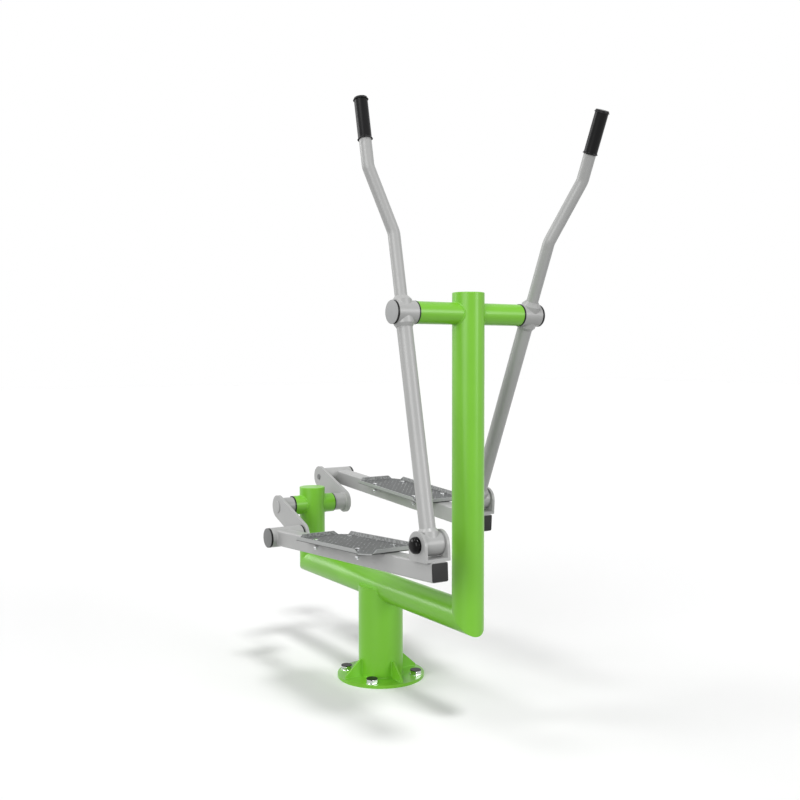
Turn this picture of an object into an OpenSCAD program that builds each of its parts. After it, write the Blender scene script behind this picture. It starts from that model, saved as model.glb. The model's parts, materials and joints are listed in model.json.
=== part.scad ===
// Outdoor cross trainer: a bent tube frame on a bolted column, two swinging hand levers,
// two pedal bars with footplates and a crank that joins the pedal bars at the rear.
// Millimetres. The origin is the centre of the underside of the base flange, +X points to the
// front post and +Z points up. The user faces +X, so the right side lies at -Y.

/* [Base] */
// Diameter of the round base flange
flange_d = 273; // [250:1:340]
// Thickness of the base flange
flange_t = 10; // [8:1:16]
// Diameter of the circle through the four anchor holes
anchor_pcd = 225; // [212:1:230]
// Diameter of each anchor hole
anchor_hole_d = 26; // [20:1:28]
// Width across the flats of each anchor cap nut
anchor_nut_af = 32; // [30:1:40]
// Height of each anchor cap nut
anchor_nut_h = 15; // [13:1:24]
// Thickness of each gusset plate
gusset_t = 6; // [4:1:10]
// Height of each gusset on the column, above the flange
gusset_h = 52; // [30:1:80]
// Length of each gusset's foot, out from the column
gusset_reach = 58; // [40:1:62]

/* [Column and beam] */
// Outer diameter of the column
column_d = 139.7; // [120:0.1:152]
// Wall of the column
column_wall = 5; // [3:0.5:8]
// Height of the column's flat top above the underside of the flange
column_h = 289; // [250:1:340]
// Outer diameter of the beam and of both posts
frame_d = 88.9; // [76:0.1:102]
// Wall of the beam and of both posts
frame_wall = 4; // [3:0.5:6]
// How far the beam's axis lies below the column's top
beam_drop = 1.4; // [0:0.1:10]
// Distance of the front post's axis in front of the column's axis
front_x = 465.7; // [430:0.1:500]
// Height of the front post's top
front_h = 1182; // [1160:1:1240]
// Distance of the rear post's axis behind the column's axis
rear_x = 468.7; // [440:0.1:500]
// Height of the rear post's top
rear_h = 548; // [535:1:620]
// Thickness of the closing plates on the posts and the column
closing_t = 5; // [3:0.5:8]

/* [Crossbar] */
// Outer diameter of the crossbar
crossbar_d = 60.3; // [48:0.1:76]
// Wall of the crossbar
crossbar_wall = 3.6; // [2.5:0.1:5]
// Distance of the crossbar's axis below the top of the front post
crossbar_drop = 58; // [45:1:80]
// Length of the crossbar between its ends
crossbar_len = 348; // [320:1:400]
// Diameter of the shaft that carries the levers
shaft_d = 30; // [25:1:35]
// Thickness of the plugs that hold the shaft in the crossbar's ends
shaft_plug_t = 20; // [10:1:40]

/* [Levers] */
// Outer diameter of each lever hub
hub_d = 63; // [56:0.5:76]
// Wall of each hub, fork hub and housing
hub_wall = 4; // [3:0.5:6]
// Length of each lever hub
hub_len = 60.8; // [50:0.1:80]
// Thickness of the black ring between the crossbar and the hub
hub_ring_t = 4.1; // [2:0.1:8]
// Thickness of the black ring outside the hub
hub_outer_ring_t = 6.2; // [2:0.1:8]
// Thickness of the cap disc on each hub
hub_cap_t = 1.1; // [0.8:0.1:5]
// How far the lever tube's plane lies outside the middle of its hub
lever_shift = 2.6; // [0:0.1:6]
// Distance from the crossbar's axis to the fork pivot
lever_len = 603; // [590:1:612]
// Outer diameter of the lever tube below the hub
lever_d = 42.4; // [38:0.1:48]
// Wall of the lever tube and of the handle tube
lever_wall = 3; // [2:0.1:4]
// Length of the flanged bearing sleeves in the hubs
bearing_len = 16; // [10:1:22]

/* [Handles] */
// Outer diameter of the handle tube
handle_d = 33.7; // [30:0.1:38]
// Distance from the crossbar's axis to the lower bend of the handle
handle_straight = 216; // [180:1:260]
// Rise from the lower bend of the handle to the upper one
handle_rise = 177; // [140:1:220]
// How far the grip stands outside the lever's plane
handle_offset = 56.8; // [30:0.1:90]
// Radius of the handle's bends at the middle of the tube
handle_bend_r = 50; // [40:1:140]
// Distance from the crossbar's axis to the end of the handle tube
handle_len = 581; // [560:1:640]
// Length of the grip
grip_len = 117; // [90:1:130]
// Wall of the grip's sleeve
grip_wall = 1.5; // [1:0.1:4]
// Diameter of the grip's two flared lips at their lower edge
grip_lip_d = 42.4; // [40:0.1:52]
// Height of each flared lip
grip_lip_h = 5; // [3:0.5:6.5]
// Distance of the upper lip's lower edge below the grip's top
grip_lip_drop = 7; // [7:0.5:24]
// Thickness of the grip's closed end
grip_end_t = 3.5; // [2:0.1:6]

/* [Sockets] */
// Height of the collar where the handle leaves its hub
collar_up_h = 11.5; // [8:0.5:24]
// Height of the collar where the lever tube leaves a hub
collar_down_h = 8.5; // [6:0.5:20]
// Diameter of each collar's foot on its hub
collar_foot_d = 55; // [52:0.5:55]
// How far a collar's rim stands out round its tube
collar_rim = 0.8; // [0.5:0.1:2]

/* [Forks] */
// Outer diameter of the fork hub
fork_hub_d = 60.3; // [50:0.1:64]
// Inner width between the clevis cheeks
fork_gap = 60; // [50:1:70]
// Thickness of the clevis cheeks and of the clevis base
cheek_t = 8; // [6:0.5:10]
// Radius of the clevis cheeks about the pivot
cheek_r = 38; // [32:0.5:46]
// How far the centre of the cheeks' arc lies below the pivot
cheek_drop = 3; // [0:0.5:8]
// Height of the fork pivot above the bar's top
pivot_rise = 42; // [40:0.5:56]
// Diameter of the fork pin
fork_pin_d = 20; // [16:1:25]
// Diameter of the fork pin's round head
fork_head_d = 30; // [26:0.5:36]
// Thickness of the fork pin's round head
fork_head_t = 3; // [2:0.5:6]
// Width across the flats of the fork pin's nut
fork_nut_af = 30; // [27:0.5:32]
// Height of the fork pin's nut
fork_nut_h = 8; // [6:0.5:10]
// Outer diameter of the cap over the nut
fork_cap_d = 44; // [42:0.5:50]
// Height of the cap over the nut
fork_cap_h = 17; // [12:0.1:20]

/* [Pedal bars] */
// Width and height of the pedal bar
bar_w = 50; // [40:1:60]
// Wall of the pedal bar
bar_wall = 3; // [2:0.5:5]
// Radius of the pedal bar's outer corners
bar_r = 5; // [4:0.5:7]
// Distance along the bar from the crank pin to the fork pivot
bar_pivot_x = 877; // [860:1:890]
// Distance along the bar from the crank pin to the bar's front end
bar_len = 921; // [916:1:960]
// Thickness of the head of the black end plug
plug_t = 2.5; // [1.5:0.1:5]
// How deep the end plug sits in the bar
plug_depth = 22; // [10:1:30]

/* [Footplates] */
// Length of each footplate
plate_len = 431; // [400:1:440]
// Width of each footplate
plate_w = 178; // [160:1:185]
// Thickness of the footplate's sheet
plate_t = 3; // [2:0.5:4]
// Distance along the bar from the crank pin to the footplate's rear edge
plate_x = 271; // [255:1:280]
// Height of the footplate's turned-up lips
lip_h = 14; // [8:0.5:24]
// How far the lips' tops lean outwards
lip_flare = 4.4; // [0:0.1:5]
// Height of the slant outside the lips' bends
bend_h = 3.5; // [1:0.5:4]
// Length of the front corner cut along the bar
front_cut_x = 37; // [30:1:50]
// Depth of the front corner cut across the bar
front_cut_y = 22; // [16:1:30]
// Length of the rear corner cut along the bar
rear_cut_x = 26; // [20:1:36]
// Depth of the rear corner cut across the bar
rear_cut_y = 21; // [16:1:30]
// Distance along the bar from the footplate's rear edge to its rear bolts
bolt_rear_x = 90; // [60:1:120]
// Distance between the footplate's rear bolts and its front bolts
bolt_pitch_x = 246.5; // [200:0.5:280]
// Distance between the two bolts across the bar
bolt_pitch_y = 114; // [104:1:126]
// Gap between the pedal bar's top and the footplate on its lugs
plate_gap = 0; // [0:0.5:4]
// Thickness of the lugs under the footplate
lug_t = 11; // [10:1:16]
// Width of the lugs along the bar
lug_w = 36; // [28:1:50]
// Nominal diameter of the footplate's bolts
bolt_d = 8; // [6:1:10]

/* [Rear housings] */
// Outer diameter of the rear housing on each pedal bar
house_d = 63.5; // [56:0.5:76]
// Length of the rear housing
house_len = 111; // [100:1:130]
// Thickness of the black ring between the crank arm and the rear housing
house_ring_t = 4.9; // [2:0.1:8]
// Thickness of the black ring outside the rear housing
house_outer_ring_t = 6.3; // [2:0.1:8]
// Thickness of the cap disc on the rear housing
house_cap_t = 1.1; // [0.8:0.1:5]
// Diameter of the crank pin
pin_d = 30; // [25:1:35]

/* [Crank] */
// Distance between the crank's axle and a crank pin
crank_r = 198; // [180:1:205]
// How far the right crank pin stands below level, in front of the axle
crank_phase = 20.3; // [10:0.1:30]
// Distance of the crank axle below the rear post's top
crank_drop = 61; // [48:1:80]
// Outer diameter of the crank housing through the rear post
crank_house_d = 65.8; // [56:0.1:76]
// Length of the crank housing
crank_house_len = 152; // [130:1:160]
// Thickness of the black rings beside the crank housing
crank_ring_t = 3; // [2:0.1:6]
// Outer diameter of the hub behind each crank arm
crank_hub_d = 58.6; // [50:0.1:64]
// Length of the hub behind each crank arm
crank_hub_len = 45.5; // [35:0.1:50]
// Thickness of each crank arm
arm_t = 11; // [8:0.5:14]
// Radius of each crank arm's round ends
arm_end_r = 39.4; // [32:0.1:42]
// Diameter of the axle
axle_d = 30; // [25:1:35]
// Diameter of the disc on the axle's end
axle_cap_d = 43; // [36:0.5:50]
// Thickness of the disc on the axle's end
axle_cap_t = 3; // [2:0.5:6]
// Diameter of the pin end in the crank arm
pin_end_d = 20; // [16:1:24]

/* [Clearances] */
// Radial running clearance between a shaft and its bearing sleeve
run_c = 0.05; // [0.03:0.01:0.1]
// Gap between faces that turn against each other
face_gap = 0.3; // [0.2:0.05:1]
// Gap between the fork hub and each clevis cheek
fork_side_c = 1; // [0.5:0.1:2]
// Radial clearance round a bolt's shank
bolt_c = 0.5; // [0.3:0.1:1]
// Radial clearance in the bore of an anchor nut
nut_c = 2; // [0.5:0.1:2.5]

/* [Hidden] */
$fn = 96;

// Colours
green = "#7AC043";
grey = "#B2B2B2";
dark_grey = "#848484";
black = "#2B2B2B";
zinc = "#C9CCCE";

// Sides: the factor on y
right = -1;
left = 1;
both = [right, left];

// One overrun serves every cut
over = 1;

// A hexagon's corner radius over its width across the flats
hex_corner_share = 0.57735;
// Power of the cosine and sine in a dome's profile: below 1 it has full shoulders
dome_share = 0.67;
dome_steps = 8;

// Frame
beam_z = column_h - beam_drop;
front_at = [front_x, 0, beam_z];
rear_at = [-rear_x, 0, beam_z];
crossbar_z = front_h - crossbar_drop;
axle_z = rear_h - crank_drop;
frame_ri = frame_d / 2 - frame_wall;
column_ri = column_d / 2 - column_wall;
cap_round = closing_t / 2;
cap_steps = 6;
mitre_a = 45;
anchor_count = 4;
gusset_nose_share = 0.12;
nut_top_t = anchor_nut_h / 4;

// Crossbar and hubs, as distances from the middle plane
ring_y = crossbar_len / 2 + face_gap;
hub_y = ring_y + hub_ring_t;
hub_end_y = hub_y + hub_len;
hub_cap_y = hub_end_y + hub_outer_ring_t;
lever_y = hub_y + hub_len / 2 + lever_shift;
shaft_y = hub_cap_y - face_gap;
hub_ri = hub_d / 2 - hub_wall;
bearing_bore_r = shaft_d / 2 + run_c;

// Crank, as distances from the middle plane
crank_ring_y = crank_house_len / 2;
crank_hub_y = crank_ring_y + crank_ring_t + face_gap;
arm_y = crank_hub_y + crank_hub_len;
arm_end_y = arm_y + arm_t;
pin_y = arm_end_y + face_gap;
house_y = pin_y + house_ring_t;
house_end_y = house_y + house_len;
house_cap_y = house_end_y + house_outer_ring_t;
axle_bore_r = axle_d / 2 + run_c;
pin_boss_t = arm_t / 4;

// Pedal bar, in its own frame: origin on the crank pin's axis, x along the bar
bar_top = bar_w / 2;
pivot_z = bar_top + pivot_rise;
plate_z = bar_top + plate_gap;
bolt_xs = [plate_x + bolt_rear_x, plate_x + bolt_rear_x + bolt_pitch_x];
bolt_head_af = bolt_d * 13 / 8;
bolt_head_h = bolt_d * 5.3 / 8;
bolt_nut_h = bolt_d * 6.8 / 8;
bolt_tail = bolt_d * 5 / 8;
lug_out = bolt_pitch_y / 2 + bolt_head_af;
house_ri = house_d / 2 - hub_wall;
fork_hub_len = fork_gap - 2 * fork_side_c;
fork_ri = fork_hub_d / 2 - hub_wall;
fork_bush_r = fork_pin_d / 2 + run_c;
fork_cavity_r = fork_nut_af * hex_corner_share + run_c;
clevis_half = fork_gap / 2 + cheek_t;

// Closed linkage: crank pin, fork pivot and bar angle of a side, in the x-z plane
pivot_at = [front_x, crossbar_z];
axle_at = [-rear_x, axle_z];
link_len = norm([bar_pivot_x, pivot_z]);
link_skew = atan2(pivot_z, bar_pivot_x);
function pin_at(s) = axle_at - s * crank_r * [cos(crank_phase), -sin(crank_phase)];
function to_pin(s) = pin_at(s) - pivot_at;
function reach(s) = norm(to_pin(s));
function lever_a(s) = atan2(-to_pin(s)[0], -to_pin(s)[1])
    - acos((pow(lever_len, 2) + pow(reach(s), 2) - pow(link_len, 2)) / (2 * lever_len * reach(s)));
function fork_at(s) = pivot_at + lever_len * [-sin(lever_a(s)), -cos(lever_a(s))];
function bar_a(s) = let (d = fork_at(s) - pin_at(s)) atan2(d[1], d[0]) - link_skew;

// Handle: two bends of opposite turn joined by straight tubes
handle_a = atan2(handle_offset, handle_rise);
bend_cut = handle_bend_r * tan(handle_a / 2);
bend_steps = 5;
tube_sides = 40;
grip_r = handle_d / 2 + grip_wall;

echo(right_lever = lever_a(right), left_lever = lever_a(left), right_bar = bar_a(right), left_bar = bar_a(left));
echo(right_fork = fork_at(right), left_fork = fork_at(left), right_pin = pin_at(right), left_pin = pin_at(left));
echo(lever_y = lever_y, crossbar_z = crossbar_z, axle_z = axle_z);

// Placing

// Put a child on the side s: the left one as drawn, the right one mirrored
module side(s) {
    if (s < 0) mirror([0, 1, 0]) children();
    else children();
}

// A cylinder along +y from y0 to y1
module rod(r, y0, y1) {
    translate([0, y0, 0]) rotate([-90, 0, 0]) cylinder(r = r, h = y1 - y0);
}

// A tube along +y from y0 to y1
module sleeve(r, ri, y0, y1) {
    difference() {
        rod(r, y0, y1);
        rod(ri, y0 - over, y1 + over);
    }
}

// A hexagonal prism along +z, by its width across flats
module hexagon(af, h) {
    cylinder(r = af * hex_corner_share, h = h, $fn = 6);
}

// Children drawn in the lever's frame of a side: origin on the crossbar's axis, +z up the lever
module on_lever(s) {
    side(s) translate([front_x, 0, crossbar_z]) rotate([0, lever_a(s), 0]) children();
}

// Children drawn in the pedal bar's frame of a side: origin on the crank pin's axis
module on_bar(s) {
    side(s) translate([pin_at(s)[0], 0, pin_at(s)[1]]) rotate([0, -bar_a(s), 0]) children();
}

// Children drawn about the crank's axle, turned so that +x runs to the side's crank pin
module on_crank(s) {
    side(s) translate([-rear_x, 0, axle_z]) rotate([0, s < 0 ? crank_phase : crank_phase + 180, 0]) children();
}

// A block on one side of the mitre plane of the beam and a post: ahead of it or behind it
module mitre(at, turn, ahead) {
    translate(at) rotate([0, turn, 0]) translate([ahead ? 0 : -4 * frame_d, -frame_d, -2 * frame_d])
        cube([4 * frame_d, 2 * frame_d, 4 * frame_d]);
}

// Frame

module base_flange() color(green) difference() {
    cylinder(d = flange_d, h = flange_t);
    for (i = [0:anchor_count - 1]) rotate([0, 0, (i + 0.5) * 360 / anchor_count])
        translate([anchor_pcd / 2, 0, -over]) cylinder(d = anchor_hole_d, h = flange_t + 2 * over);
}

module base_gussets() color(green) for (i = [0:anchor_count - 1]) rotate([0, 0, i * 360 / anchor_count])
    difference() {
        translate([0, gusset_t / 2, flange_t]) rotate([90, 0, 0]) linear_extrude(gusset_t)
            polygon([
                [column_ri, 0],
                [column_d / 2 + gusset_reach, 0],
                [column_d / 2 + gusset_reach, gusset_h * gusset_nose_share],
                [column_d / 2 + gusset_reach * gusset_nose_share, gusset_h],
                [column_ri, gusset_h]
            ]);
        cylinder(d = column_d, h = column_h);
    }

module anchor_nuts() color(zinc) for (i = [0:anchor_count - 1]) rotate([0, 0, (i + 0.5) * 360 / anchor_count])
    translate([anchor_pcd / 2, 0, flange_t]) difference() {
        hexagon(anchor_nut_af, anchor_nut_h);
        translate([0, 0, -over]) cylinder(r = anchor_hole_d / 2 - nut_c, h = anchor_nut_h - nut_top_t + over);
    }

module column() color(green) difference() {
    translate([0, 0, flange_t]) cylinder(d = column_d, h = column_h - flange_t);
    cylinder(r = column_ri, h = column_h + over);
    translate([-column_d, 0, beam_z]) rotate([0, 90, 0]) cylinder(d = frame_d, h = 2 * column_d);
}

module main_beam() color(green) difference() {
    translate([-rear_x - frame_d, 0, beam_z]) rotate([0, 90, 0])
        cylinder(d = frame_d, h = rear_x + front_x + 2 * frame_d);
    translate([-rear_x - 2 * frame_d, 0, beam_z]) rotate([0, 90, 0])
        cylinder(r = frame_ri, h = rear_x + front_x + 4 * frame_d);
    mitre(front_at, -mitre_a, true);
    mitre(rear_at, mitre_a, false);
}

// A post's tube from the mitre with the beam to the closing plate
module post_tube(at, top) {
    difference() {
        translate([at[0], 0, at[2] - frame_d]) cylinder(d = frame_d, h = top - closing_t - at[2] + frame_d);
        translate([at[0], 0, at[2] - 2 * frame_d]) cylinder(r = frame_ri, h = top - at[2] + 3 * frame_d);
    }
}

module front_post() color(green) difference() {
    post_tube(front_at, front_h);
    mitre(front_at, -mitre_a, false);
    translate([front_x, 0, crossbar_z]) rod(crossbar_d / 2, -frame_d, frame_d);
}

module rear_post() color(green) difference() {
    post_tube(rear_at, rear_h);
    mitre(rear_at, mitre_a, true);
    translate([-rear_x, 0, axle_z]) rod(crank_house_d / 2, -frame_d, frame_d);
}

// A round closing plate with a rounded rim
module round_plate(r, t, round) {
    rotate_extrude() polygon(concat(
        [[0, 0], [r, 0]],
        [for (i = [0:cap_steps]) [r - round + round * cos(90 * i / cap_steps),
                                  t - round + round * sin(90 * i / cap_steps)]],
        [[0, t]]));
}

// A dome of radius r and height h
module dome(r, h) {
    rotate_extrude() polygon(concat(
        [[0, 0]],
        [for (i = [0:dome_steps]) let (a = 90 * i / dome_steps)
            [r * pow(cos(a), dome_share), h * pow(sin(a), dome_share)]]));
}

module closing_plates() color(green) {
    translate([front_x, 0, front_h - closing_t]) round_plate(frame_d / 2, closing_t, cap_round);
    translate([-rear_x, 0, rear_h - closing_t]) round_plate(frame_d / 2, closing_t, cap_round);
    difference() {
        translate([0, 0, column_h - closing_t]) cylinder(r = column_ri, h = closing_t);
        translate([-column_d, 0, beam_z]) rotate([0, 90, 0]) cylinder(d = frame_d, h = 2 * column_d);
    }
}

module crossbar() color(green) translate([front_x, 0, crossbar_z])
    sleeve(crossbar_d / 2, crossbar_d / 2 - crossbar_wall, -crossbar_len / 2, crossbar_len / 2);

module crossbar_plugs() color(green) for (s = both) side(s) translate([front_x, 0, crossbar_z])
    sleeve(crossbar_d / 2 - crossbar_wall, shaft_d / 2, crossbar_len / 2 - shaft_plug_t, crossbar_len / 2);

module lever_shaft() color(zinc) translate([front_x, 0, crossbar_z]) rod(shaft_d / 2, -shaft_y, shaft_y);

module crank_housing() color(green) translate([-rear_x, 0, axle_z])
    sleeve(crank_house_d / 2, crank_house_d / 2 - hub_wall, -crank_ring_y, crank_ring_y);

// A flanged bearing sleeve along +y: the flange lies at y0, outside the tube that starts at y1
module flanged_sleeve(flange_r, body_r, bore_r, y0, y1, y2) {
    difference() {
        union() {
            rod(flange_r, min(y0, y1), max(y0, y1));
            rod(body_r, min(y1, y2), max(y1, y2));
        }
        rod(bore_r, min(y0, y2) - over, max(y0, y2) + over);
    }
}

module crank_bearings() color(black) for (s = both) side(s) translate([-rear_x, 0, axle_z])
    flanged_sleeve(crank_house_d / 2, crank_house_d / 2 - hub_wall, axle_bore_r,
        crank_ring_y + crank_ring_t, crank_ring_y, crank_ring_y - bearing_len);

// Crank

module crank_axle() color(zinc) translate([-rear_x, 0, axle_z]) rod(axle_d / 2, -arm_end_y, arm_end_y);

module crank_arm(s) color(grey) on_crank(s) difference() {
    union() {
        rod(arm_end_r, arm_y, arm_end_y);
        translate([crank_r, 0, 0]) rod(arm_end_r, arm_y, arm_end_y);
        translate([0, arm_y, -arm_end_r]) cube([crank_r, arm_t, 2 * arm_end_r]);
    }
    rod(axle_d / 2, arm_y - over, arm_end_y + over);
    translate([crank_r, 0, 0]) rod(pin_end_d / 2, arm_y - over, arm_end_y + over);
}

module crank_hub(s) color(grey) on_crank(s) sleeve(crank_hub_d / 2, axle_d / 2, crank_hub_y, arm_y);

module crank_end_caps() color(grey) for (s = both) on_crank(s)
    rod(axle_cap_d / 2, arm_end_y, arm_end_y + axle_cap_t);

module crank_pin_ends() color(dark_grey) for (s = both) on_crank(s) translate([crank_r, 0, 0])
    rod(pin_end_d / 2, arm_y - pin_boss_t, arm_end_y);

// Levers

module lever_hub(s) color(grey) on_lever(s) sleeve(hub_d / 2, hub_ri, hub_y, hub_end_y);

module lever_tube(s) color(grey) on_lever(s) difference() {
    translate([0, lever_y, -lever_len]) cylinder(d = lever_d, h = lever_len);
    translate([0, lever_y, -lever_len - over]) cylinder(r = lever_d / 2 - lever_wall, h = lever_len + 2 * over);
    rod(hub_d / 2, hub_y - over, hub_end_y + lever_d);
    translate([0, 0, -lever_len]) rod(fork_hub_d / 2, lever_y - lever_d, lever_y + lever_d);
}

// The handle's path in the lever's frame: [y, z, lean] at each ring, from the hub to the end
handle_path = concat(
    [[0, hub_d / 2, 0]],
    [for (i = [0:bend_steps]) let (a = handle_a * i / bend_steps)
        [handle_bend_r * (1 - cos(a)), handle_straight - bend_cut + handle_bend_r * sin(a), a]],
    [for (i = [0:bend_steps]) let (a = handle_a * (1 - i / bend_steps))
        [handle_offset - handle_bend_r * (1 - cos(a)),
         handle_straight + handle_rise + bend_cut - handle_bend_r * sin(a), a]],
    [[handle_offset, handle_len, 0]]);
function handle_ring(p, r) = [for (j = [0:tube_sides - 1]) let (f = 360 * j / tube_sides)
    [r * cos(f), p[0] + r * sin(f) * cos(p[2]), p[1] - r * sin(f) * sin(p[2])]];

module handle_tube(s) color(grey) on_lever(s) translate([0, lever_y, 0]) {
    rings = len(handle_path);
    inner = rings * tube_sides;
    polyhedron(
        points = concat(
            [for (p = handle_path) each handle_ring(p, handle_d / 2)],
            [for (p = handle_path) each handle_ring(p, handle_d / 2 - lever_wall)]),
        faces = concat(
            [for (i = [0:rings - 2], j = [0:tube_sides - 1]) let (k = (j + 1) % tube_sides)
                each tube_face(i * tube_sides + j, i * tube_sides + k, tube_sides)],
            [for (i = [0:rings - 2], j = [0:tube_sides - 1]) let (k = (j + 1) % tube_sides)
                each tube_face(inner + i * tube_sides + k, inner + i * tube_sides + j, tube_sides)],
            [for (j = [0:tube_sides - 1]) let (k = (j + 1) % tube_sides)
                each [[j, k, inner + k], [j, inner + k, inner + j]]],
            [for (j = [0:tube_sides - 1]) let (k = (j + 1) % tube_sides, e = inner - tube_sides)
                each [[e + j, inner + e + k, e + k], [e + j, inner + e + j, inner + e + k]]]));
}

// Two triangles between points p and q of one ring and the same points of the next
function tube_face(p, q, step) = [[p, q + step, q], [p, p + step, q + step]];

// A conical collar round a tube of radius r, from a hub of radius hub_r up to its rim
module collar(r, hub_r, h) {
    difference() {
        union() {
            cylinder(d = collar_foot_d, h = hub_r);
            translate([0, 0, hub_r]) cylinder(r1 = collar_foot_d / 2, r2 = r + collar_rim, h = h);
        }
        translate([0, 0, -over]) cylinder(r = r, h = hub_r + h + 2 * over);
        rod(hub_r, -collar_foot_d, collar_foot_d);
    }
}

module tube_collars(s) color(grey) on_lever(s) translate([0, lever_y, 0]) {
    collar(handle_d / 2, hub_d / 2, collar_up_h);
    rotate([180, 0, 0]) collar(lever_d / 2, hub_d / 2, collar_down_h);
    translate([0, 0, -lever_len]) collar(lever_d / 2, fork_hub_d / 2, collar_down_h);
}

module grip(s) color(black) on_lever(s) translate([0, lever_y + handle_offset, handle_len + grip_end_t - grip_len])
    difference() {
        union() {
            cylinder(r = grip_r, h = grip_len - grip_end_t);
            translate([0, 0, grip_len - grip_end_t]) round_plate(grip_r, grip_end_t, grip_end_t / 2);
            for (z = [0, grip_len - grip_lip_drop]) translate([0, 0, z])
                cylinder(r1 = grip_lip_d / 2, r2 = grip_r, h = grip_lip_h);
        }
        translate([0, 0, -over]) cylinder(r = handle_d / 2, h = grip_len - grip_end_t + over);
    }

module lever_bearings(s) color(black) on_lever(s) {
    flanged_sleeve(hub_d / 2, hub_ri, bearing_bore_r, ring_y, hub_y, hub_y + bearing_len);
    flanged_sleeve(hub_d / 2, hub_ri, bearing_bore_r, hub_cap_y, hub_end_y, hub_end_y - bearing_len);
    for (t = both) translate([0, lever_y, -lever_len]) side(t)
        sleeve(fork_ri, fork_bush_r, fork_hub_len / 2 - bearing_len, fork_hub_len / 2);
}

module hub_cap(s) color(dark_grey) on_lever(s) rod(hub_d / 2, hub_cap_y, hub_cap_y + hub_cap_t);

module fork_hub(s) color(grey) on_lever(s) translate([0, lever_y, -lever_len])
    sleeve(fork_hub_d / 2, fork_ri, -fork_hub_len / 2, fork_hub_len / 2);

// Pedals

// A square with rounded corners, centred
module round_square(w, r) {
    square([w - 2 * r, w], center = true);
    square([w, w - 2 * r], center = true);
    for (x = both, y = both) translate([x * (w / 2 - r), y * (w / 2 - r)]) circle(r = r);
}

module pedal_bar(s) color(grey) on_bar(s) difference() {
    translate([0, lever_y, 0]) rotate([90, 0, 90]) linear_extrude(bar_len) difference() {
        round_square(bar_w, bar_r);
        round_square(bar_w - 2 * bar_wall, bar_r - bar_wall);
    }
    rod(house_d / 2, house_y, house_end_y + bar_w);
}

module bar_plug(s) color(black) on_bar(s) translate([0, lever_y, 0]) rotate([90, 0, 90]) {
    translate([0, 0, bar_len]) linear_extrude(plug_t) round_square(bar_w - bar_wall, bar_r - bar_wall / 2);
    translate([0, 0, bar_len - plug_depth]) linear_extrude(plug_depth)
        round_square(bar_w - 2 * bar_wall, bar_r - bar_wall);
}

module clevis(s) color(grey) on_bar(s) translate([bar_pivot_x, lever_y, 0]) difference() {
    union() {
        for (t = both) side(t) {
            translate([0, 0, pivot_z - cheek_drop]) rod(cheek_r, fork_gap / 2, clevis_half);
            translate([-cheek_r, fork_gap / 2, bar_top]) cube([2 * cheek_r, cheek_t, pivot_rise - cheek_drop]);
        }
        translate([-cheek_r, -clevis_half, bar_top]) cube([2 * cheek_r, 2 * clevis_half, cheek_t]);
    }
    translate([0, 0, pivot_z]) rod(fork_pin_d / 2, -clevis_half - over, clevis_half + over);
}

module fork_pin(s) color(zinc) on_bar(s) translate([bar_pivot_x, lever_y, pivot_z]) {
    rod(fork_pin_d / 2, -clevis_half, clevis_half + fork_nut_h);
    rod(fork_head_d / 2, -clevis_half - fork_head_t, -clevis_half);
    translate([0, clevis_half, 0]) rotate([-90, 0, 0]) difference() {
        hexagon(fork_nut_af, fork_nut_h);
        translate([0, 0, -over]) cylinder(r = fork_pin_d / 2 + run_c, h = fork_nut_h + 2 * over);
    }
}

module fork_cap(s) color(black) on_bar(s) translate([bar_pivot_x, lever_y + clevis_half, pivot_z])
    rotate([-90, 0, 0]) difference() {
        dome(fork_cap_d / 2, fork_cap_h);
        translate([0, 0, -over]) cylinder(r = fork_cavity_r, h = fork_nut_h + run_c + over);
    }

// Outline of the footplate's base, from its rear edge
module plate_outline() {
    polygon([
        [0, -plate_w / 2 + rear_cut_y], [rear_cut_x, -plate_w / 2],
        [plate_len - front_cut_x, -plate_w / 2], [plate_len, -plate_w / 2 + front_cut_y],
        [plate_len, plate_w / 2 - front_cut_y], [plate_len - front_cut_x, plate_w / 2],
        [rear_cut_x, plate_w / 2], [0, plate_w / 2 - rear_cut_y]
    ]);
}

// A lip of length len along +x, with slanted ends, standing on z = 0 and plate_t thick toward +y
module lip(len) {
    intersection() {
        rotate([90, 0, 90]) linear_extrude(len)
            polygon([[0, 0], [plate_t, 0], [plate_t - lip_flare, lip_h], [-lip_flare, lip_h]]);
        translate([0, plate_t + over, 0]) rotate([90, 0, 0]) linear_extrude(plate_t + lip_flare + 2 * over)
            polygon([[0, 0], [len, 0], [len - lip_h, lip_h], [lip_h, lip_h]]);
    }
}

// Below a bend: everything under the line from a on the underside to b on the lip's outside
module below_bend(len) {
    a = [bend_h, 0];
    b = [-lip_flare * bend_h / lip_h, bend_h];
    low = a + (a - b);
    high = b + (b - a);
    rotate([90, 0, 90]) linear_extrude(len) polygon([low, high, [high[0], low[1]]]);
}

module at_edge(len, bend) {
    if (bend) below_bend(len); else lip(len);
}

module at_edges(bend) {
    for (t = both) side(t) translate([rear_cut_x, -plate_w / 2, 0])
        at_edge(plate_len - front_cut_x - rear_cut_x, bend);
    translate([0, plate_w / 2 - rear_cut_y, 0]) rotate([0, 0, -90]) at_edge(plate_w - 2 * rear_cut_y, bend);
    translate([plate_len, -plate_w / 2 + front_cut_y, 0]) rotate([0, 0, 90])
        at_edge(plate_w - 2 * front_cut_y, bend);
}

module footplate(s) color(dark_grey) on_bar(s) translate([plate_x, lever_y, plate_z]) difference() {
    union() {
        linear_extrude(plate_t) plate_outline();
        at_edges(false);
    }
    at_edges(true);
    for (x = bolt_xs, t = both) translate([x - plate_x, t * bolt_pitch_y / 2, -over])
        cylinder(r = bolt_d / 2 + bolt_c, h = plate_t + 2 * over);
}

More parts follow.
